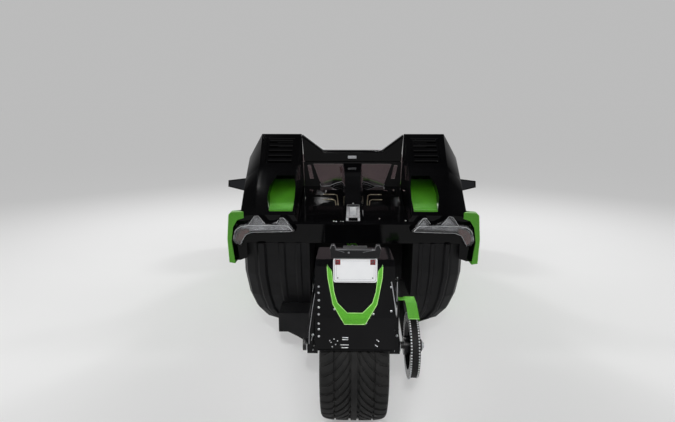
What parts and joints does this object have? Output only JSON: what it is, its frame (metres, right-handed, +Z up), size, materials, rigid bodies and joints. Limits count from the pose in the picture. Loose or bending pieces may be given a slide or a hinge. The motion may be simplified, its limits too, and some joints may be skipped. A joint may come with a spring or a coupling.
{
  "type": "three-wheeled roadster",
  "caption": "Open side-by-side roadster with steered front wheels, a wide belt-driven rear wheel, louvred rear cowls and a hollow cockpit",
  "frame": {"origin": "on the ground below the middle of the overall box", "axes": "+X is the vehicle's right, +Y points forward, +Z up"},
  "size_m": [1.97, 3.7999, 1.33],
  "materials": {
    "gloss_black": "gloss",
    "lime_green": "gloss",
    "charcoal_plastic": "matte",
    "black_steel": "satin",
    "clear_lamp": "gloss",
    "brake_red": "gloss",
    "tinted_glass": "gloss",
    "vinyl_black": "satin",
    "mirror_black": "gloss",
    "aluminium": "satin",
    "engine_metal": "matte",
    "exhaust_steel": "satin",
    "rim_black": "gloss",
    "tyre": "matte",
    "disc_steel": "satin",
    "belt_rubber": "matte",
    "plate_white": "gloss"
  },
  "bodies": {
    "root": {"floor_tub": "charcoal_plastic", "firewall": "black_steel", "rear_bulkhead": "charcoal_plastic", "rear_tubs": "charcoal_plastic", "tail_deck": "gloss_black", "rear_cowls": "gloss_black", "cowl_louvres": "gloss_black", "accent_panels": "lime_green", "roll_bar": "gloss_black", "rear_windows": "tinted_glass", "tail_lamps": "clear_lamp", "quarter_panels": "lime_green", "side_panels": "lime_green", "hood": "lime_green", "front_fascia": "gloss_black", "grille": "charcoal_plastic", "splitter": "charcoal_plastic", "headlamps": "clear_lamp", "windscreen": "tinted_glass", "dashboard": "charcoal_plastic", "seats": "vinyl_black", "mirrors": "mirror_black", "space_frame": "black_steel", "engine": "engine_metal", "radiator": "aluminium", "exhaust": "exhaust_steel", "control_arms": "black_steel", "dampers": "black_steel", "steering_rack": "black_steel", "swingarm": "gloss_black", "swingarm_pivot": "black_steel", "drive_belt": "belt_rubber", "belt_sprocket": "aluminium", "belt_guard": "lime_green", "rear_fender": "gloss_black", "fender_trim": "lime_green", "plate_bracket": "charcoal_plastic", "number_plate": "plate_white"},
    "steering_wheel": {"steering_wheel": "vinyl_black"},
    "knuckle_left": {"knuckle_left": "aluminium", "front_fender_left": "gloss_black"},
    "knuckle_right": {"knuckle_right": "aluminium", "front_fender_right": "gloss_black"},
    "wheel_front_left": {"front_rim_left": "rim_black", "front_tyre_left": "tyre", "front_disc_left": "disc_steel"},
    "wheel_front_right": {"front_rim_right": "rim_black", "front_tyre_right": "tyre", "front_disc_right": "disc_steel"},
    "wheel_rear": {"rear_rim": "rim_black", "rear_tyre": "tyre", "rear_axle": "black_steel", "rear_pulley": "rim_black"}
  },
  "joints": [
    {"name": "steer_left", "type": "hinge", "parent": "root", "child": "knuckle_left", "pos_m": [-0.82, 1.1125, 0.33], "axis": [0, 0, 1], "range_deg": [-32, 32]},
    {"name": "steer_right", "type": "hinge", "parent": "root", "child": "knuckle_right", "pos_m": [0.82, 1.1125, 0.33], "axis": [0, 0, 1], "range_deg": [-32, 32]},
    {"name": "steering_wheel_turn", "type": "hinge", "parent": "root", "child": "steering_wheel", "pos_m": [-0.33, 0.07, 0.77], "axis": [0, -0.9135, 0.4067], "range_deg": [-384, 384]},
    {"name": "spin_front_left", "type": "hinge", "parent": "knuckle_left", "child": "wheel_front_left", "pos_m": [-0.868, 1.1125, 0.33], "axis": [-1, 0, 0], "continuous": true},
    {"name": "spin_front_right", "type": "hinge", "parent": "knuckle_right", "child": "wheel_front_right", "pos_m": [0.868, 1.1125, 0.33], "axis": [-1, 0, 0], "continuous": true},
    {"name": "spin_rear", "type": "hinge", "parent": "root", "child": "wheel_rear", "pos_m": [0, -1.5545, 0.3455], "axis": [-1, 0, 0], "continuous": true}
  ],
  "couplings": [
    {"joint": "steer_right", "follows": "steer_left", "ratio": 1},
    {"joint": "steering_wheel_turn", "follows": "steer_left", "ratio": 12}
  ]
}
